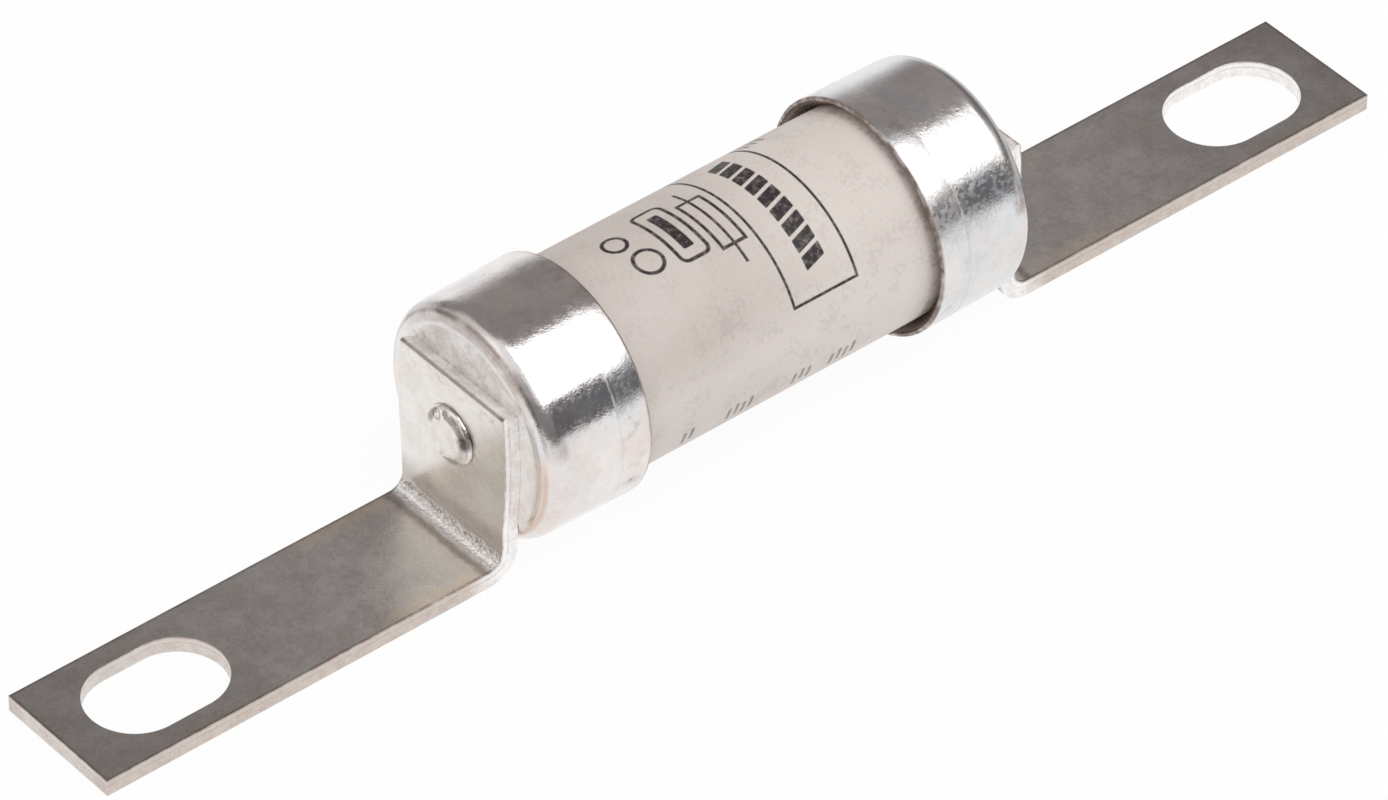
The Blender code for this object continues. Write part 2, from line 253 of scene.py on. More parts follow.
def spin_round(piece, steps):
    """Spins the drawn outline all the way round the barrel's axis."""
    bpy.ops.mesh.select_mode(type="VERT")
    bpy.ops.mesh.select_all(action="SELECT")
    bpy.ops.mesh.spin(steps=steps, angle=2 * math.pi, center=(0, 0, AXIS_HEIGHT), axis=(1, 0, 0))
    bpy.ops.mesh.select_all(action="SELECT")
    bpy.ops.mesh.remove_doubles(threshold=WELD)
    bpy.ops.mesh.normals_make_consistent(inside=False)
    bpy.ops.object.mode_set(mode="OBJECT")


def smooth(piece, degrees=30):
    take_up(piece)
    bpy.ops.object.shade_smooth_by_angle(angle=math.radians(degrees))


def copy_to_left(piece, name):
    """The same piece for the other end, turned half round the vertical."""
    take_up(piece)
    bpy.ops.object.duplicate()
    copy = bpy.context.object
    copy.name = copy.data.name = name
    bpy.ops.transform.rotate(value=math.pi, orient_axis="Z", center_override=(0, 0, 0))
    settle(copy)
    return copy


def belongs(piece, node, finish):
    """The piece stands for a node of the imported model, in its place, with this finish."""
    piece.data.materials.clear()
    piece.data.materials.append(finish)
    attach(piece, "root")
    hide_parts(node)


# Wiring of shader nodes

class Reading:
    """What a shader node gives. Sums written with it add Math nodes beside that node."""

    def __init__(self, socket):
        self.socket = socket

    def __add__(self, other):
        return math_node("ADD", self, other)

    def __sub__(self, other):
        return math_node("SUBTRACT", self, other)

    def __rsub__(self, other):
        return math_node("SUBTRACT", other, self)

    def __mul__(self, other):
        return math_node("MULTIPLY", self, other)

    __rmul__ = __mul__

    def __truediv__(self, other):
        return math_node("DIVIDE", self, other)

    def __rtruediv__(self, other):
        return math_node("DIVIDE", other, self)

    def __abs__(self):
        return math_node("ABSOLUTE", self)


def feed(socket, value):
    """Gives a node's input a plain value, or joins it to what another node gives."""
    if isinstance(value, Reading):
        socket.id_data.links.new(value.socket, socket)
    else:
        socket.default_value = value


def add_node(tree, kind, inputs=None, **settings):
    """A new shader node with these settings; inputs go by name or by number."""
    made = tree.nodes.new("ShaderNode" + kind)
    for name, value in settings.items():
        setattr(made, name, value)
    for name, value in (inputs or {}).items():
        feed(made.inputs[name], value)
    return made


def tree_of(*values):
    """The node tree in which these values are worked out."""
    return next(value.socket.id_data for value in values if isinstance(value, Reading))


def outputs_of(node):
    return {socket.name: Reading(socket) for socket in node.outputs}


def math_node(operation, *values, clamp=False):
    made = add_node(tree_of(*values), "Math", dict(enumerate(values)), operation=operation, use_clamp=clamp)
    return Reading(made.outputs[0])


def largest(*values):
    """The largest of the values at each point."""
    most = values[0]
    for value in values[1:]:
        most = math_node("MAXIMUM", most, value)
    return most


def length_of(a, b):
    """The length of a line that goes a one way and b across it."""
    return math_node("SQRT", a * a + b * b)


def spread(value, low, high, to_low=0.0, to_high=1.0, smooth_step=False):
    """The value between low and high, spread from to_low to to_high and held there beyond."""
    inputs = {"Value": value, "From Min": low, "From Max": high, "To Min": to_low, "To Max": to_high}
    way = "SMOOTHSTEP" if smooth_step else "LINEAR"
    made = add_node(tree_of(value), "MapRange", inputs, interpolation_type=way)
    return outputs_of(made)["Result"]


def scaled(share, least, most):
    """A share from 0 to 1 as a value from least to most."""
    return spread(share, 0.0, 1.0, least, most)


def band(value, middle, half, edge):
    """1 within half of the middle, falling to 0 over the edge's width."""
    return spread(abs(value - middle), half, half + edge, 1.0, 0.0)


def noise(place, scale, detail=3.0, roughness=0.55, distortion=0.0):
    made = add_node(tree_of(place), "TexNoise", {
        "Vector": place, "Scale": scale, "Detail": detail, "Roughness": roughness, "Distortion": distortion})
    return Reading(made.outputs["Fac"])


def blend(share, first, second, how="MIX"):
    """Two colours mixed by share."""
    made = add_node(tree_of(share, first, second), "Mix", {"Factor": share, "A": first, "B": second},
                    data_type="RGBA", blend_type=how)
    return Reading(made.outputs["Result"])


def axes_of(place):
    """A place's three parts, along X, Y and Z."""
    split = outputs_of(add_node(tree_of(place), "SeparateXYZ", {0: place}))
    return split["X"], split["Y"], split["Z"]


def reach_of(place, point):
    """How far a place is from that point."""
    made = add_node(tree_of(place), "VectorMath", {0: place, 1: point}, operation="DISTANCE")
    return Reading(made.outputs["Value"])


def start_group(name, numbers, outputs):
    """An empty node group: its tree, the place and numbers it is given, and where its outputs go."""
    tree = bpy.data.node_groups.new(name, "ShaderNodeTree")
    tree.interface.new_socket(name="Place", in_out="INPUT", socket_type="NodeSocketVector")
    for label, value in numbers.items():
        socket = tree.interface.new_socket(name=label, in_out="INPUT", socket_type="NodeSocketFloat")
        socket.default_value = value
    for label in outputs:
        tree.interface.new_socket(name=label, in_out="OUTPUT", socket_type="NodeSocketFloat")
    come, go = tree.nodes.new("NodeGroupInput"), tree.nodes.new("NodeGroupOutput")
    return tree, outputs_of(come), go.inputs


def place_group(group, place, **values):
    """What the group gives at a place, with its own values; spaces in socket names are written _."""
    inputs = {name.replace("_", " "): value for name, value in values.items()}
    return outputs_of(add_node(tree_of(place), "Group", {"Place": place, **inputs}, node_tree=group))


def mottle_group():
    """Soft cloudy patches with finer grain in them, from 0 to 1."""
    tree, come, go = start_group("mottle", {"Patch": 0.5, "Grain": 4.0, "Grain Share": 0.3}, ["Mask"])
    patches = noise(come["Place"], come["Patch"], roughness=0.5)
    grain = noise(come["Place"], come["Grain"], roughness=0.5)
    feed(go["Mask"], spread(patches + (grain - 0.5) * come["Grain Share"], 0.34, 0.66))
    return tree


def scratch_group():
    """Fine hair scratches in three directions."""
    tree, come, go = start_group("hair_scratches", {"Along X": 0.12, "Fine": 6.0, "Amount": 0.62}, ["Mask"])
    masks = []
    for turn in (0.5, -0.9, 1.35):
        turned = add_node(tree, "Mapping", {"Vector": come["Place"], "Rotation": (0, 0, turn)})
        x, y, z = axes_of(Reading(turned.outputs["Vector"]))
        drawn_out = add_node(tree, "CombineXYZ", {
            "X": x * come["Along X"], "Y": y * come["Fine"], "Z": z * come["Fine"]})
        lines = noise(Reading(drawn_out.outputs[0]), 1.0, detail=1.0, distortion=0.3)
        masks.append(spread(lines, come["Amount"], come["Amount"] + 0.06))
    feed(go["Mask"], largest(*masks))
    return tree


def dot_group():
    """Small scattered dots: pits in metal, specks in glaze."""
    tree, come, go = start_group("scattered_dots", {"Spacing": 1.2, "Radius": 0.12, "Share": 0.4}, ["Mask"])
    scale = 1.0 / come["Spacing"]
    cells = outputs_of(add_node(tree, "TexVoronoi", {"Vector": come["Place"], "Scale": scale}))
    lot = outputs_of(add_node(tree, "SeparateColor", {0: cells["Color"]}))
    chosen = math_node("LESS_THAN", lot["Red"], come["Share"])
    size = come["Radius"] * (lot["Green"] + 0.35)
    inside = spread(cells["Distance"] * come["Spacing"] / size, 1.2, 0.6)
    feed(go["Mask"], inside * chosen)
    return tree


def sheet_group():
    """Where a point is in the bent sheet of a tag, in millimetres.

    Out is the distance from the middle, Depth runs from the sheet's upper face through its thickness.
    Along is below 0 on the leg, runs through the bend from 0, and on along the plate.
    """
    tree, come, go = start_group("sheet_place", {}, ["Out", "Side", "Up", "Depth", "Along"])
    x, y, z = axes_of(come["Place"])
    out = abs(x)
    beyond = (LEG_FRONT + FOLD_RADIUS) / MM - out
    below = (TAG_THICKNESS + FOLD_RADIUS) / MM - z
    a, b = largest(beyond, 0.0), largest(below, 0.0)
    on_leg, on_plate = math_node("MINIMUM", below, 0.0), math_node("MINIMUM", beyond, 0.0)
    feed(go["Out"], out)
    feed(go["Side"], abs(y))
    feed(go["Up"], z)
    feed(go["Depth"], length_of(a, b) - BEND_AT)
    feed(go["Along"], math_node("ARCTAN2", b, a) * BEND_AT + (on_leg - on_plate))
    return tree


MOTTLE = mottle_group()
SCRATCHES = scratch_group()
DOTS = dot_group()
SHEET = sheet_group()


def mottle(place, patch, grain, grain_share):
    return place_group(MOTTLE, place, Patch=patch, Grain=grain, Grain_Share=grain_share)["Mask"]


def scattered(place, spacing, radius, share):
    return place_group(DOTS, place, Spacing=spacing, Radius=radius, Share=share)["Mask"]


def start_finish(name, metallic=0.0):
    """A new finish, its shader's inputs, and places on the piece in millimetres."""
    finish = bpy.data.materials.new(name)
    finish.use_nodes = True
    tree = finish.node_tree
    inputs = tree.nodes["Principled BSDF"].inputs
    inputs["Metallic"].default_value = metallic
    at = outputs_of(add_node(tree, "TexCoord"))["Object"]
    place = add_node(tree, "Mapping", {"Vector": at, "Scale": (1 / MM, 1 / MM, 1 / MM)})
    return finish, inputs, Reading(place.outputs["Vector"])


def dress(finish, inputs, base, roughness, height, depth):
    """Gives the finish its colour and roughness, and bumps as high as depth, in metres."""
    feed(inputs["Base Color"], base)
    feed(inputs["Roughness"], roughness)
    bump = add_node(tree_of(height), "Bump", {"Strength": 1.0, "Distance": depth, "Height": height})
    feed(inputs["Normal"], Reading(bump.outputs["Normal"]))
    return finish


def colour(red, green, blue):
    """A colour written as it looks on a screen, from 0 to 255, as the shader wants it."""
    parts = [c / 255 for c in (red, green, blue)]
    return (*[c / 12.92 if c <= 0.04045 else ((c + 0.055) / 1.055) ** 2.4 for c in parts], 1.0)


# Finishes of the pieces

def tin_layers(place, light, dark, rough, ripple, patch, pits, crinkle):
    """Tin plate on metal, cloudy, scratched and pitted here and there: its colour, roughness and height."""
    cloudy = mottle(place, patch, 2.2, 0.5)
    fine = mottle(place, 3.2, 9.0, 0.6)
    scratched = place_group(SCRATCHES, place, Along_X=0.30, Fine=8.0, Amount=0.63)["Mask"]
    pitted = scattered(place, 1.6, 0.10, pits)
    base = blend(cloudy, colour(*dark), colour(*light))
    base = blend(0.30 * scratched, base, colour(252, 250, 248))
    base = blend(0.55 * pitted, base, colour(128, 116, 108))
    roughness = scaled(0.5 * fine + 0.5 * cloudy, *rough) + 0.25 * pitted
    height = 0.55 * noise(place, ripple, detail=2.0) + crinkle * fine - 0.05 * scratched - 0.5 * pitted
    return base, roughness, height


def matt_mottle(place, light, dark):
    """The blotchy grey of the matt ends."""
    return blend(mottle(place, 1.1, 4.0, 0.8), colour(*dark), colour(*light))


def cap_tin():
    """Thin bright tin, matt on the flat end and painted lighter above the tag, browned along the worn corner,
    with painted shade over the right cap's corner, on the mouth's lip and on the wall inside.
    """
    finish, shader, place = start_finish("tinned_cap")
    base, roughness, height = tin_layers(
        place, light=(243, 241, 240), dark=(231, 228, 227), rough=(0.07, 0.17), ripple=0.5, patch=0.35,
        pits=0.3, crinkle=0.12)
    x, side, up = axes_of(place)
    out = abs(x)
    radius = length_of(side, up - AXIS_AT)
    on_right = math_node("GREATER_THAN", x, 0.0)
    on_left = 1.0 - on_right
    # hue drifts a little from warm to cool
    drift = spread(noise(place, 0.45), 0.42, 0.62)
    base = blend(0.5, base, blend(drift, colour(246, 238, 234), colour(231, 235, 240)), "MULTIPLY")
    # the flat end is matt, most of all above the tag; there its colour is painted light, lighter against the
    # shade of the leg and cap
    flat = spread(radius, CAP_FLAT_AT + 0.20, CAP_FLAT_AT - 0.05)
    flat = flat * spread(out, LEG_BACK / MM - 0.10, LEG_BACK / MM - 0.05)
    above = spread(up, 8.0, 10.5) * spread(side, -4.6, -2.8, 0.3, 1.0)
    base = blend(flat, base, blend(above, matt_mottle(place, (255, 254, 253), (248, 245, 243)),
                                   matt_mottle(place, (255, 252, 250), (230, 224, 221))))
    roughness = roughness + 0.18 * flat
    feed(shader["Metallic"], 1.0 - flat * scaled(above, 0.35, 0.80))
    # worn corner, by degrees round it: brown stains over the tag's top, behind and in front, and a thin line
    broken = spread(noise(place, 1.3), 0.36, 0.60)
    turn = math_node("ARCTAN2", out - CORNER_AT, radius - CAP_FLAT_AT) * (180 / math.pi)
    on_top = band(turn, 61, 11, 8) * spread(up, 10.5, 12.0)
    behind = band(turn, 40, 12, 12) * spread(side, -0.5, 1.5)
    in_front = band(up, 9.5, 0.5, 0.5) * spread(side, -5.2, -5.9) * band(turn, 14, 18, 14)
    base = blend(largest(on_top, behind, in_front) * scaled(broken, 0.22, 0.55), base, colour(150, 130, 118))
    line = band(turn, 47, 3, 5) * spread(up, 8.6, 9.8)
    base = blend(line * scaled(broken, 0.3, 0.6), base, colour(122, 104, 96))
    # both caps are grained high on the front; the right one has painted shade over the upper part of its
    # corner, and is rougher and cooler
    painted_corner_shade = spread(up, 8.0, 10.0) * on_right * band(turn, 42, 26, 10)
    base = blend(0.5 * painted_corner_shade, base, colour(120, 115, 114))
    grain = spread(mottle(place, 0.9, 4.0, 1.2), 0.35, 0.75)
    grained = spread(side, -3.5, -5.5, 0.15, 1.0) * spread(up, 7.8, 9.2) * grain
    roughness = roughness + 0.07 * grained + on_right * scaled(grained, 0.07, 0.12)
    base = blend(on_right, base, colour(249, 252, 253), "MULTIPLY")
    # the left cap is duller on top and warmer low down
    dull = spread(up, 11.0, 12.4) * spread(noise(place, 0.45, detail=5.0), 0.36, 0.58) * on_left
    base = blend(0.20 * dull, base, colour(168, 156, 150))
    warm = spread(up, 9.6, 8.2) * spread(noise(place, 0.6, detail=4.0), 0.42, 0.62) * on_left
    base = blend(0.5 * warm, base, colour(255, 240, 230), "MULTIPLY")
    # the pressed ring is rough low down, and the metal from it to the mouth a little rougher than the rest
    ring = band(out, (CAP_RING + RING_WIDTH / 2) / MM, 0.03, 0.09) * spread(up, 12.0, 11.0)
    roughness = roughness + 0.20 * ring + spread(out, RING_AT, RING_AT - 0.1, 0.0, 0.05)
    # a brown smear low on the worn corner
    smear = band(turn, 61, 4, 8) * spread(up, 9.3, 7.5)
    base = blend(0.5 * smear, base, colour(200, 164, 138))
    # stains by the mouth, painted shade and a painted dark reflection on its lip, and painted shade on the
    # wall inside
    stains = spread(out, MOUTH_AT + 2.3, MOUTH_AT + 1.2) * spread(noise(place, 0.9, detail=4.0), 0.56, 0.70)
    base = blend(0.35 * stains, base, colour(168, 140, 120))
    lip = spread(out, MOUTH_AT + 0.22, MOUTH_AT + 0.06) * spread(noise(place, 1.7), 0.35, 0.58, 0.5, 1.0)
    base = blend(0.9 * lip, base, colour(134, 114, 104))
    inside = spread(radius, CAP_AT - 0.36, CAP_AT - 0.44) * spread(out, CORNER_AT, CORNER_AT - 0.2)
    base = blend(0.7 * inside, base, colour(176, 156, 142))
    return dress(finish, shader, base, roughness + 0.25 * lip, height, 0.02 * MM)


def strap_tin():
    """Duller tin on the tags, crinkled in the bend, with painted shade at the leg's foot, in the crinkles and
    by the crease, a painted highlight in the bend, a painted warm reflection near the plate's edges by the
    bend, and browned along the edges.
    """
    finish, shader, place = start_finish("tinned_tag", metallic=1.0)
    base, roughness, height = tin_layers(
        place, light=(240, 235, 231), dark=(227, 220, 215), rough=(0.24, 0.33), ripple=0.35, patch=0.45,
        pits=0.04, crinkle=0.05)
    sheet = place_group(SHEET, place)
    # crumpled bend: painted shade at the leg's foot, flecked with painted shade in the crinkles' hollows, a
    # painted highlight where it is smooth, then painted shade along the crease by the plate
    wander = noise(place, 1.1) - 0.5
    along = sheet["Along"] + 0.5 * wander
    crumpled = mottle(place, 3.0, 7.0, 1.2)
    bent = spread(sheet["Along"], 0.05, 0.25) * spread(sheet["Along"], 1.40, 1.15)
    flecked = band(along, 0.58, 0.16, 0.15)
    height = height + crumpled * (2.9 * flecked + 0.8 * bent)
    foot = spread(along, -1.5, -0.2) * spread(along, 0.50, 0.20)
    base = blend(0.45 * foot, base, colour(128, 116, 108))
    base = blend(0.6 * (flecked * spread(crumpled, 0.42, 0.14)), base, colour(112, 102, 96))
    base = blend(0.9 * band(along, 0.95, 0.34, 0.10), base, colour(255, 252, 252))
    base = blend(0.5 * band(along, 1.62, 0.08, 0.28), base, colour(118, 109, 104))
    # duller on the plate, most of all towards the tip, with a painted warm reflection of the leg near the
    # edges by the bend
    base = blend(spread(sheet["Along"], 1.5, 3.0), base, colour(245, 249, 250), "MULTIPLY")
    grimed = spread(mottle(place, 0.8, 5.0, 1.0), 0.60, 0.25) * spread(sheet["Along"], 1.8, 4.0)
    base = blend(0.32 * grimed, base, colour(194, 191, 188))
    base = blend(0.8 * spread(sheet["Out"], 24.0, 43.0), base, colour(210, 208, 207), "MULTIPLY")
    near_edge = spread(sheet["Side"] + 2.0 * wander, TAG_SIDE_AT - 1.1, TAG_SIDE_AT - 0.5)
    base = blend(0.35 * (band(sheet["Along"], 5.0, 2.4, 1.5) * near_edge), base, colour(255, 238, 212))
    # browned line along the long edges, the end and the leg's top, with spots under that
    broken = spread(noise(place, 1.6), 0.36, 0.56, 0.25, 1.0)
    edge = largest(spread(sheet["Side"], TAG_SIDE_AT - 0.20, TAG_SIDE_AT - 0.08),
                   spread(sheet["Out"], TAG_END_AT - 0.20, TAG_END_AT - 0.08))
    edge = edge * math_node("LESS_THAN", sheet["Up"], 1.2)
    top = spread(sheet["Up"], TAG_TOP_AT - 0.32, TAG_TOP_AT - 0.12)
    spots = spread(sheet["Up"], TAG_TOP_AT - 1.6, TAG_TOP_AT - 0.6) * spread(noise(place, 1.9), 0.54, 0.68)
    browned = largest(largest(edge, top) * broken, 0.5 * spots)
    base = blend(0.55 * browned, base, colour(128, 106, 94))
    return dress(finish, shader, base, roughness - 0.06 * bent, height, 0.02 * MM)


def leg_end_matt():
    """The upper end of the leg: matt as the cap's flat end behind it, browned along the front edge."""
    finish, shader, place = start_finish("matt_leg_end", metallic=0.2)
    sheet = place_group(SHEET, place)
    base = matt_mottle(place, (250, 246, 244), (224, 217, 214))
    edge = spread(sheet["Depth"], 0.22, 0.10)
    base = blend(0.75 * edge, base, colour(138, 118, 106))
    ends = spread(sheet["Side"], TAG_SIDE_AT - 0.45, TAG_SIDE_AT - 0.10)
    base = blend(0.6 * (ends * edge), base, colour(88, 78, 72))
    return dress(finish, shader, base, 0.5, mottle(place, 3.2, 9.0, 0.6), 0.008 * MM)


def sheared_metal():
    """Sheared sides of the tags: a browned upper edge, a bright smooth band, then the blotchy torn band."""
    finish, shader, place = start_finish("sheared_edge", metallic=0.82)
    x, _, _ = axes_of(place)
    sheet = place_group(SHEET, place)
    depth = sheet["Depth"]
    torn = mottle(place, 1.4, 5.0, 0.9)
    broken = spread(noise(place, 1.6), 0.36, 0.56, 0.25, 1.0)
    base = blend(torn, colour(250, 247, 245), colour(255, 253, 252))
    rough_part = spread(depth, 0.36, 0.50)
    base = blend(0.4 * rough_part, base, blend(torn, colour(228, 221, 216), colour(255, 252, 250)))
    # duller on the plate's outer sides and all round the left plate
    on_plate = spread(sheet["Along"], 1.0, 3.0)
    outside = spread(sheet["Side"], SLOT_SIDE_AT + 0.1, SLOT_SIDE_AT + 0.5)
    dull = largest(math_node("LESS_THAN", x, 0.0), outside)
    base = blend(0.9 * (on_plate * dull), base, colour(219, 211, 205), "MULTIPLY")
    base = blend(0.5 * (on_plate * outside), base, colour(234, 227, 222), "MULTIPLY")
    # a brown line between the bands, and the browned upper edge
    line = band(depth, 0.37, 0.02, 0.05) * broken
    base = blend(0.35 * line, base, colour(150, 132, 120))
    edge = spread(depth, 0.13, 0.04) * broken
    base = blend(0.6 * edge, base, colour(140, 114, 98))
    return dress(finish, shader, base, scaled(torn, 0.36, 0.24), 0.5 * torn - 0.5 * rough_part, 0.02 * MM)


def stud_metal():
    """The rivets: a flat face as dull as the tag, a bright uneven wall, and painted shade round its foot, in
    its hollows and, on the left one, in front and round a dent.
    """
    finish, shader, place = start_finish("rivet_metal", metallic=1.0)
    base, roughness, height = tin_layers(
        place, light=(240, 235, 231), dark=(227, 220, 215), rough=(0.12, 0.20), ripple=1.2, patch=1.4,
        pits=0.2, crinkle=0.25)
    x, side, up = axes_of(place)
    over_axis = up - AXIS_AT
    radius = length_of(side, over_axis)
    roughness = roughness + spread(radius, HEAD_AT - 0.50, HEAD_AT - 0.65, 0.0, 0.12)
    # painted shade round the head's foot, where it meets the leg
    foot = spread(abs(x), LEG_FRONT / MM + 0.10, LEG_FRONT / MM + 0.03)
    base = blend(0.4 * foot, base, colour(112, 100, 94))
    # painted shade in hollows pressed in the shoulder's upper half
    lumps = mottle(place, 1.1, 4.0, 0.5)
    on_shoulder = band(radius, HEAD_AT - 0.40, 0.18, 0.12)
    hollow = spread(lumps, 0.56, 0.36) * on_shoulder * spread(over_axis, 0.1, 0.6)
    base = blend(0.65 * hollow, base, colour(84, 74, 70))

    # the left one has a dark patch of painted shade in front, and a ring of painted shade round a dent behind
    def from_mark(side_share, up_share):
        """How far a place is from a point on the left face, given in shares of the head's radius."""
        return reach_of(place, (0.15 - rivet_high.x / MM, side_share * HEAD_AT, up_share * HEAD_AT + AXIS_AT))

    front_painted_shade = spread(from_mark(-0.78, 0.26), 0.34 * HEAD_AT, 0.16 * HEAD_AT) * spread(lumps, 0.75, 0.30)
    dent = band(from_mark(0.40, 0.62), 0.17 * HEAD_AT, 0.03, 0.06)
    base = blend(0.85 * largest(front_painted_shade, 0.6 * dent), base, colour(96, 84, 80))
    return dress(finish, shader, base, roughness, height, 0.015 * MM)


def box_reach(x, y, middle_x, middle_y, half_x, half_y, corner=0.0):
    """How far a point is outside a box with rounded corners; less than 0 inside."""
    dx = abs(x - middle_x) - (half_x - corner)
    dy = abs(y - middle_y) - (half_y - corner)
    if not corner:
        return largest(dx, dy)
    return length_of(largest(dx, 0.0), largest(dy, 0.0)) + math_node("MINIMUM", largest(dx, dy), 0.0) - corner


def printed_marks_group():
    """Plain printed marks on the barrel: a frame with a row of bars, a fuse symbol, a tab and two rings."""
    tree, come, go = start_group("printed_marks", {}, ["Ink"])
    x, y, z = axes_of(come["Place"])
    round_way = math_node("ARCTAN2", y * -1.0, z - AXIS_AT) * BARREL_AT
    # the print sits a little askew
    x = x - 0.036 * (round_way - 2.0)

    def solid(*box, y=round_way):
        return spread(box_reach(x, y, *box), 0.03, -0.03)

    def line(width, *box):
        return spread(abs(box_reach(x, round_way, *box)) - width / 2, 0.03, -0.03)

    # frame, with its row of leaning bars
    bold = [line(0.17, 2.61, 0.15, 2.10, 7.0)]
    leaning = round_way + 0.3 * (x - 2.69)
    bold += [solid(2.69, -2.75 + 0.98 * count, 0.68, 0.38, 0.08, y=leaning) for count in range(9)]
    # fuse symbol: a long box with a line through it
    bold += [line(0.20, -0.80, 0.75, 0.74, 1.85), solid(-0.80, 0.75, 0.09, 3.05)]
    # tab: a rounded box with a bar in it
    bold += [line(0.22, -3.0, 0.12, 0.88, 2.2, 0.4), solid(-3.0, 0.12, 0.34, 1.5, 0.1)]
    # two rings
    for middle_x, middle_y, ring in ((-5.95, -0.75, 0.64), (-5.40, 1.25, 0.80)):
        bold.append(line(0.22, middle_x, middle_y, ring, ring, ring))
    # fainter rows of strokes further round, below and behind
    faint = [solid(start + 0.48 * stroke, 12.1 - 0.15 * (stroke % 2), 0.12, 0.55, 0.05)
             for start, count in ((-7.0, 2), (-4.0, 4), (0.4, 3), (2.9, 4)) for stroke in range(count)]
    faint += [solid(start, -4.1, 0.13, 0.75, 0.05) for start in (5.2, 5.7, 6.2)]
    ink = largest(largest(*bold), 0.6 * largest(*faint))
    thin = noise(come["Place"], 3.0, detail=4.0, roughness=0.7)
    feed(go["Ink"], ink * spread(thin, 0.30, 0.52, 0.72, 1.0))
    return tree


RUBBED_PLACE = (-3.4, -5.2, 10.3)    # in millimetres


def barrel_ceramic():
    """Pale unglazed-looking steatite with faint smudges, dark specks and the printed marks; painted lighter
    low on the front and towards the right, with painted shade beside the caps.
    """
    finish, shader, place = start_finish("barrel_ceramic")
    cloudy = mottle(place, 0.22, 1.4, 0.4)
    smudged = mottle(place, 0.7, 4.0, 0.9)
    specks = scattered(place, 2.3, 0.09, 0.35)
    x, side, up = axes_of(place)
    base = blend(cloudy, colour(212, 202, 195), colour(219, 209, 203))
    # painted light: paler low on the front, and towards the right
    low = spread(up, 10.2, 7.8) * spread(side, -3.0, -5.0)
    base = blend(low, base, blend(cloudy, colour(228, 219, 213), colour(234, 225, 219)))
    base = blend(spread(x, -2.0, 5.0, 0.0, 0.55), base, colour(240, 231, 225))
    base = blend(0.22 * spread(smudged, 0.72, 1.0), base, colour(186, 176, 170))
    base = blend(0.35 * specks, base, colour(120, 108, 102))
    # rubbed place low on the front, and painted warm shade beside the caps
    rubbed = spread(reach_of(place, RUBBED_PLACE), 2.6, 0.4) * spread(smudged, 0.10, 0.90)
    base = blend(0.22 * rubbed, base, colour(170, 160, 153))
    painted_shade_by_caps = spread(abs(x), MOUTH_AT - 0.25, MOUTH_AT)
    base = blend(painted_shade_by_caps * spread(smudged, 0.2, 0.9, 0.10, 0.5), base, colour(158, 138, 124))
    base = blend(place_group(printed_marks_group(), place)["Ink"], base, colour(52, 44, 47))
    shader["Specular IOR Level"].default_value = 0.35
    height = noise(place, 2.2, detail=4.0) - 0.5 * specks
    return dress(finish, shader, base, scaled(smudged, 0.42, 0.56), height, 0.006 * MM)


def grainy(name, light, dark, roughness, metallic, patch, grain, depth):
    """A finish for the pieces inside: two shades in soft patches, with grain."""
    finish, shader, place = start_finish(name, metallic=metallic)
    cloudy = mottle(place, patch, grain, 0.8)
    specks = scattered(place, 4.0 / grain, 0.8 / grain, 0.5)
    base = blend(0.3 * specks, blend(cloudy, colour(*dark), colour(*light)), colour(*dark))
    rough = scaled(cloudy, roughness + 0.1, roughness - 0.08)
    return dress(finish, shader, base, rough, cloudy - specks, depth)


CAP_FINISH = cap_tin()
TAG_FINISH = strap_tin()
SHEARED_FINISH = sheared_metal()
LEG_END_FINISH = leg_end_matt()
RIVET_FINISH = stud_metal()
BARREL_FINISH = barrel_ceramic()

# Finishes of the pieces inside: light, dark, roughness, metal, patch, grain, depth of the bumps
INSIDE = {
    "contact_disc": grainy("disc_brass", (216, 176, 104), (176, 134, 70), 0.34, 1.0, 0.6, 6.0, 0.004 * MM),
    "sealing_washer": grainy("washer_fibre", (150, 112, 80), (112, 80, 56), 0.82, 0.0, 1.5, 8.0, 0.02 * MM),
    "solder_ring": grainy("solder", (206, 206, 206), (160, 160, 162), 0.42, 1.0, 1.2, 5.0, 0.02 * MM),
    "fuse_element": grainy("element_silver", (240, 236, 230), (214, 208, 200), 0.26, 1.0, 0.8, 7.0,
                           0.003 * MM),
    "tin_spot": grainy("tin", (208, 210, 212), (166, 168, 170), 0.40, 1.0, 1.6, 6.0, 0.02 * MM),
    "quartz_filler": grainy("quartz_sand", (224, 212, 190), (176, 158, 130), 0.88, 0.0, 3.0, 12.0,
                            0.08 * MM),
}
for name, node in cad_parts.items():
    for start, finish in INSIDE.items():
        if name.startswith(start):
            node.data.materials.clear()
            node.data.materials.append(finish)


# The barrel

def make_barrel():
    inside = BARREL_RADIUS - BARREL_WALL
    left, right = barrel_low.x, barrel_high.x
    piece = draw_outline("barrel", [
        (left, inside), (left, BARREL_RADIUS), (right, BARREL_RADIUS), (right, inside), (left, inside)])
    close_outline()
    for x in (left, right):
        round_corner(piece, x, BARREL_RADIUS, BARREL_EDGE, segments=4)
    spin_round(piece, BARREL_STEPS)
    smooth(piece)
    finish_with(piece, "WEIGHTED_NORMAL", keep_sharp=True)
    return piece


# The caps

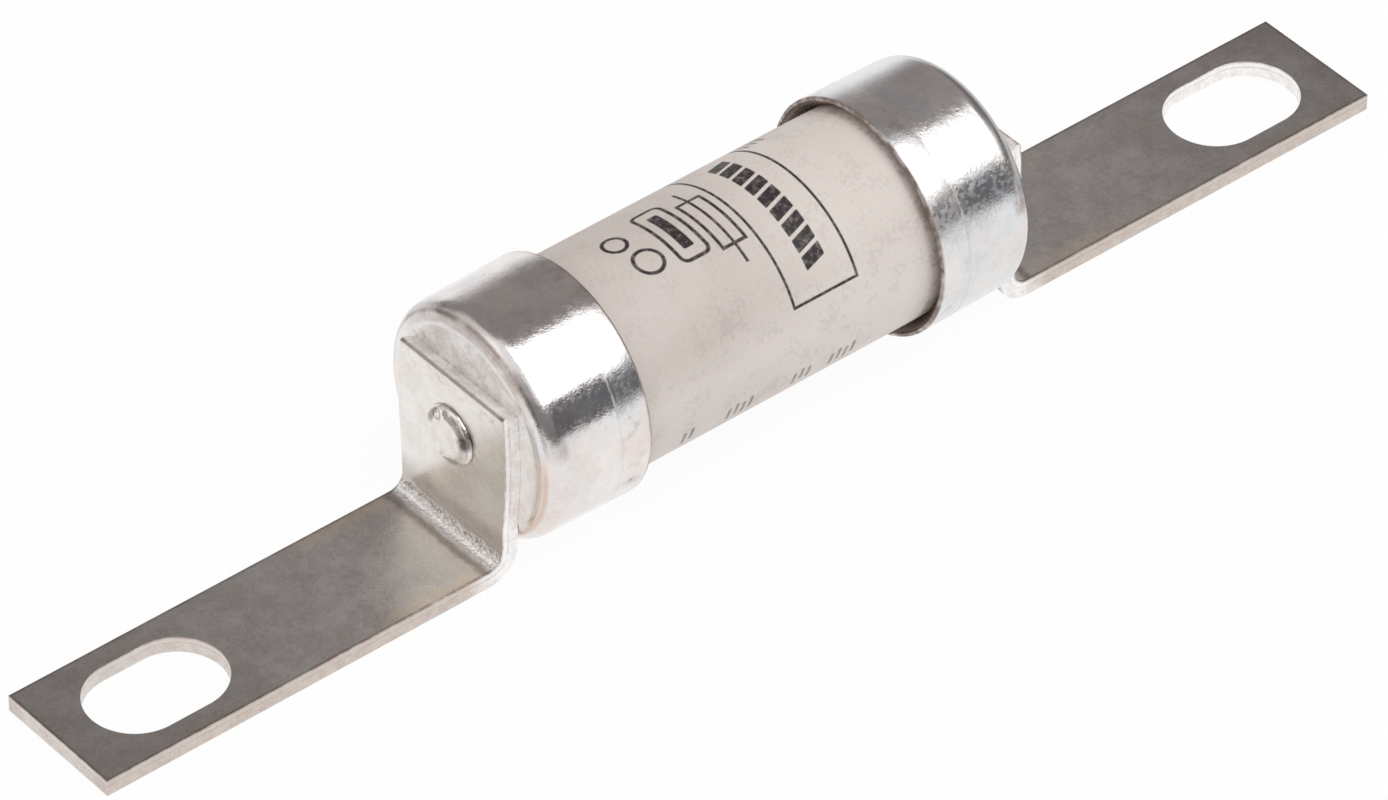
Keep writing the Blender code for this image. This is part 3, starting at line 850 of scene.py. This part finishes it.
def make_cap(name):
    mouth, outside = cap_low.x, LEG_BACK - CAP_TO_LEG
    floor_radius = CAP_RADIUS - CAP_TAPER
    inside_radius = BARREL_RADIUS + CRIMP_GAP

    def side(x, deep=0.0):
        return x, CAP_RADIUS - CAP_TAPER * (x - mouth) / (outside - mouth) - deep

    piece = draw_outline(name, [
        (outside, RIVET_HOLE), (outside, floor_radius),
        side(CAP_RING + RING_WIDTH), side(CAP_RING, RING_DEPTH), side(CAP_RING - RING_WIDTH),
        (mouth, CAP_RADIUS), (mouth, CAP_RADIUS - MOUTH_WALL),
        (mouth + MOUTH_SLOPE, inside_radius), (CAP_RING + RING_WIDTH, inside_radius),
        side(CAP_RING + 3 * RING_WIDTH, CAP_WALL),
        (CAP_FLOOR_INSIDE, floor_radius - CAP_WALL), (CAP_FLOOR_INSIDE, RIVET_HOLE), (outside, RIVET_HOLE)])
    close_outline()
    round_corner(piece, outside, floor_radius, CAP_CORNER, segments=8)
    round_corner(piece, mouth, CAP_RADIUS, CAP_LIP, segments=4)
    round_corner(piece, CAP_FLOOR_INSIDE, floor_radius - CAP_WALL, CAP_CORNER - CAP_WALL, segments=3)
    spin_round(piece, CAP_STEPS)
    smooth(piece, degrees=40)
    finish_with(piece, "WEIGHTED_NORMAL", keep_sharp=True)
    return piece


# The tags

def spread_leg(piece, leg_start):
    """The rivet's press has spread the leg a little at its height."""
    form = bmesh.from_edit_mesh(piece.data)
    for corner in form.verts:
        away = (corner.co.z - AXIS_HEIGHT) / LEG_SPREAD_HEIGHT
        if corner.co.z > leg_start + NEAR:
            corner.co.y += math.copysign(LEG_SPREAD * math.exp(-away * away), corner.co.y)
    bmesh.update_edit_mesh(piece.data)


def slot_cutter():
    """A round bar drawn out along X to the slot's length."""
    bpy.ops.mesh.primitive_cylinder_add(vertices=SLOT_STEPS, radius=SLOT_WIDTH / 2, depth=CUTTER_LENGTH,
                                        location=(SLOT_MIDDLE, 0, 0), rotation=(0, 0, math.pi / SLOT_STEPS))
    cutter = bpy.context.object
    settle(cutter)
    edit(cutter)
    for side in (-1, 1):
        pick_corners(cutter, lambda at: (at.x - SLOT_MIDDLE) * side > 0)
        bpy.ops.transform.translate(value=(side * (SLOT_LENGTH - SLOT_WIDTH) / 2, 0, 0))
    put_down()
    return cutter


def hole_cutter():
    bpy.ops.mesh.primitive_cylinder_add(vertices=RIVET_HOLE_STEPS, radius=RIVET_HOLE, depth=CUTTER_LENGTH,
                                        location=(LEG_FRONT, 0, AXIS_HEIGHT), rotation=(0, math.pi / 2, 0))
    return bpy.context.object


def make_tag(name):
    half = TAG_WIDTH / 2
    fold = LEG_FRONT + FOLD_RADIUS
    leg_start = TAG_THICKNESS + FOLD_RADIUS
    piece = block(name, (fold, -half, 0), (tag_high.x, half, TAG_THICKNESS))
    # fold the plate up, then draw the leg out of the fold
    edit(piece)
    pick_faces(piece, lambda at, way: near(at.x, fold))
    bpy.ops.mesh.spin(steps=FOLD_STEPS, angle=math.pi / 2, center=(fold, 0, leg_start), axis=(0, -1, 0))
    step = (tag_high.z - leg_start) / LEG_STEPS
    for _ in range(LEG_STEPS):
        bpy.ops.mesh.extrude_region_move(TRANSFORM_OT_translate={"value": (0, 0, step)})
    # the sheared top slopes back to the cap
    pick_corners(piece, lambda at: near(at.z, tag_high.z) and at.x < LEG_FRONT - TAG_THICKNESS / 2)
    bpy.ops.transform.translate(value=(0, 0, -LEG_TOP_SLANT))
    pick_edges(piece, lambda at: near(at.z, tag_high.z) and near(at.x, LEG_FRONT))
    bpy.ops.mesh.bevel(offset=LEG_TOP_ROUND, segments=5, affect="EDGES")
    bpy.ops.mesh.select_all(action="SELECT")
    bpy.ops.mesh.normals_make_consistent(inside=False)
    spread_leg(piece, leg_start)
    put_down()
    for cutter in (slot_cutter(), hole_cutter()):
        finish_with(piece, "BOOLEAN", operation="DIFFERENCE", object=cutter, solver="EXACT")
        bpy.data.objects.remove(cutter)
    finish_with(piece, "BEVEL", width=SHEARED_EDGE, segments=3, limit_method="ANGLE",
                angle_limit=math.radians(40))
    smooth(piece, degrees=45)
    finish_with(piece, "WEIGHTED_NORMAL", keep_sharp=True)
    return piece


def give_sheared_sides(piece):
    """The sides where the sheet was cut get their own finish, and so does the leg's upper end."""
    def cut(at, way):
        if abs(at.x) > LEG_FRONT + FOLD_RADIUS:
            return abs(way.z) < FACE_ON
        if at.z > TAG_THICKNESS + FOLD_RADIUS:
            return abs(way.x) < FACE_ON
        return abs(way.y) > SIDE_ON

    def leg_end(at, way):
        return at.z > tag_high.z - LEG_TOP_MATT and way.z > UPWARD

    for index, finish, test in ((1, SHEARED_FINISH, cut), (2, LEG_END_FINISH, leg_end)):
        piece.data.materials.append(finish)
        edit(piece)
        pick_faces(piece, test)
        piece.active_material_index = index
        bpy.ops.object.material_slot_assign()
        put_down()


# The rivets

def make_rivet(name):
    face, wall, foot = rivet_high.x - PRESS_MARK, RIVET_RADIUS - PRESS_MARK, LEG_FRONT + HEAD_FOOT
    hollow, under, back = face - FACE_HOLLOW, LEG_FRONT - HEAD_SUNK, CAP_FLOOR_INSIDE - HEAD_SUNK
    start = RIVET_RADIUS * SHOULDER_START
    shoulder = [(foot + (face - foot) * math.cos(turn), start + (wall - start) * math.sin(turn))
                for turn in (SHOULDER_TURN * step for step in range(SHOULDER_STEPS + 1))]
    piece = draw_outline(name, [
        (hollow, 0), (hollow, RIVET_RADIUS * HOLLOW_SHARE), *shoulder, (under, wall - HEAD_UNDERCUT),
        (under, SHANK_RADIUS), (back, SHANK_RADIUS), (back, TAIL_RADIUS), (rivet_low.x, TAIL_END_RADIUS),
        (rivet_low.x, 0)])
    spin_round(piece, RIVET_STEPS)
    # the press leaves the head uneven
    lumps_of.seed_set(PRESS_SEED)
    edit(piece)
    pick_faces(piece, lambda at, way: at.x > LEG_FRONT)
    bpy.ops.mesh.subdivide(number_cuts=2)
    form = bmesh.from_edit_mesh(piece.data)
    for corner in form.verts:
        out = math.hypot(corner.co.y, corner.co.z - AXIS_HEIGHT)
        if corner.co.x > LEG_FRONT + UNEVEN_OVER_LEG and out > UNEVEN_FROM * RIVET_RADIUS:
            lump = lumps_of.noise_vector(corner.co / PRESS_MARK_SIZE)
            corner.co += PRESS_MARK_SHARE * PRESS_MARK * lump
    bmesh.update_edit_mesh(piece.data)
    smooth(piece, degrees=50)
    return piece


barrel = make_barrel()
belongs(barrel, "ceramic_body", BARREL_FINISH)
for made, word, slot_name, finish in ((make_cap("cap_right"), "end_cap", "tinned_cap", CAP_FINISH),
                                      (make_tag("strap_right"), "tag", "tinned_tag", TAG_FINISH),
                                      (make_rivet("stud_right"), "rivet", "rivet_metal", RIVET_FINISH)):
    twin = copy_to_left(made, made.name.replace("right", "left"))
    belongs(made, word + "_right", finish)
    belongs(twin, word + "_left", finish)
    if word == "tag":
        give_sheared_sides(made)
        give_sheared_sides(twin)


# Floor, light and camera

FLOOR_SIZE = 8.0


def make_floor():
    """A white floor that glows for the camera; near the fuse a little of its real shade shows."""
    put_down()
    bpy.ops.mesh.primitive_plane_add(size=FLOOR_SIZE)
    floor = bpy.context.object
    floor.name = "floor"
    finish = bpy.data.materials.new("pale_floor")
    finish.use_nodes = True
    tree = finish.node_tree
    tree.nodes.clear()
    from_middle = reach_of(outputs_of(add_node(tree, "TexCoord"))["Object"], (0, 0, 0))
    paths = outputs_of(add_node(tree, "LightPath"))
    seen = paths["Is Camera Ray"] + paths["Is Glossy Ray"]
    seen = math_node("ADD", seen, paths["Is Transmission Ray"], clamp=True)
    glow = seen * spread(from_middle, 0.06, 0.3, 0.95, 1.0)
    matt = add_node(tree, "BsdfDiffuse", {"Color": (0.95, 0.95, 0.95, 1)})
    white = add_node(tree, "Emission", {"Strength": 1.0})
    mixed = add_node(tree, "MixShader", {0: glow, 1: Reading(matt.outputs[0]), 2: Reading(white.outputs[0])})
    add_node(tree, "OutputMaterial", {"Surface": Reading(mixed.outputs[0])})
    floor.data.materials.append(finish)


ROOM = (0.92, 0.92, 0.92, 1)

# Patches of the room: the direction of the middle, degrees to the full tint and to its edge, and the tint
ROOM_PATCHES = (
    ((0.03, 0.88, 0.47), 14, 28, (0.31, 0.30, 0.30, 1)),
    ((-0.60, 0.58, 0.55), 12, 36, (0.80, 0.77, 0.715, 1)),
    ((-0.72, -0.50, 0.48), 8, 28, (0.42, 0.41, 0.41, 1)),
    ((-0.68, 0.22, 0.70), 8, 16, (1.1, 1.1, 1.1, 1)),
    ((0.62, 0.42, 0.66), 28, 51, (0.288, 0.262, 0.257, 1)),
    ((0.0, 0.45, 0.89), 12, 26, (0.30, 0.285, 0.28, 1)),
)
LOW_IN_FRONT = ((0.49, -0.86, 0.13), 14, 24, (0.148, 0.143, 0.153, 1))


def make_surroundings():
    """A pale room for the light, with darker parts behind, above and low in front."""
    world = bpy.data.worlds.new("studio")
    bpy.context.scene.world = world
    world.use_nodes = True
    tree = world.node_tree
    background = tree.nodes["Background"].inputs
    way = outputs_of(add_node(tree, "TexCoord"))["Generated"]

    def towards(middle):
        """1 in that direction, less the further a direction is from it."""
        made = add_node(tree, "VectorMath", {0: way, 1: Vector(middle).normalized()}, operation="DOT_PRODUCT")
        return Reading(made.outputs["Value"])

    def with_patch(level, middle, inner, outer, tint):
        nearest, furthest = math.cos(math.radians(inner)), math.cos(math.radians(outer))
        return blend(spread(towards(middle), furthest, nearest, smooth_step=True), level, tint)

    level = ROOM
    for patch in ROOM_PATCHES:
        level = with_patch(level, *patch)
    # dark low round the horizon, higher in front, except behind to the right
    _, y, z = axes_of(way)
    height = z + 0.40 * math_node("MINIMUM", y, 0.0)
    low = spread(height, 0.29, 0.20) * spread(towards((0.49, 0.87, 0)), 0.85, 0.55)
    on_left = spread(towards((-0.92, 0.38, 0)), 0.70, 0.90)
    horizon = blend(on_left, (0.25, 0.24, 0.235, 1), (0.80, 0.77, 0.75, 1))
    level = blend(low, level, horizon)
    level = with_patch(level, *LOW_IN_FRONT)
    camera_ray = outputs_of(add_node(tree, "LightPath"))["Is Camera Ray"]
    feed(background["Color"], blend(camera_ray, level, (1, 1, 1, 1)))
    background["Strength"].default_value = 1.0


def make_lamp(name, way, distance, aside, width, height, power):
    """A soft lamp in that direction, turned to the fuse and then moved aside along X."""
    data = bpy.data.lights.new(name, "AREA")
    data.shape = "RECTANGLE"
    data.size, data.size_y = width, height
    data.energy = power
    lamp = bpy.data.objects.new(name, data)
    bpy.context.scene.collection.objects.link(lamp)
    way = Vector(way).normalized()
    lamp.location = way * distance + Vector((aside, 0, 0))
    lamp.rotation_euler = way.to_track_quat("Z", "Y").to_euler()
    lamp.visible_camera = False


def make_camera(location, turn, lens):
    data = bpy.data.cameras.new("camera")
    data.sensor_width = 36
    data.lens = lens
    data.clip_start, data.clip_end = 0.02, 50
    camera = bpy.data.objects.new("camera", data)
    bpy.context.scene.collection.objects.link(camera)
    camera.location = location
    camera.rotation_euler = turn
    bpy.context.scene.camera = camera


make_floor()
make_surroundings()
make_lamp("softbox", way=(0, -0.483, 0.876), distance=1.2, aside=0.355, width=1.2, height=1.26, power=7.0)
make_camera(location=(-0.256828, -0.300771, 0.343443), turn=(0.855573, -0.009527, -0.696122), lens=260.6)
bpy.context.scene.view_settings.view_transform = "Standard"
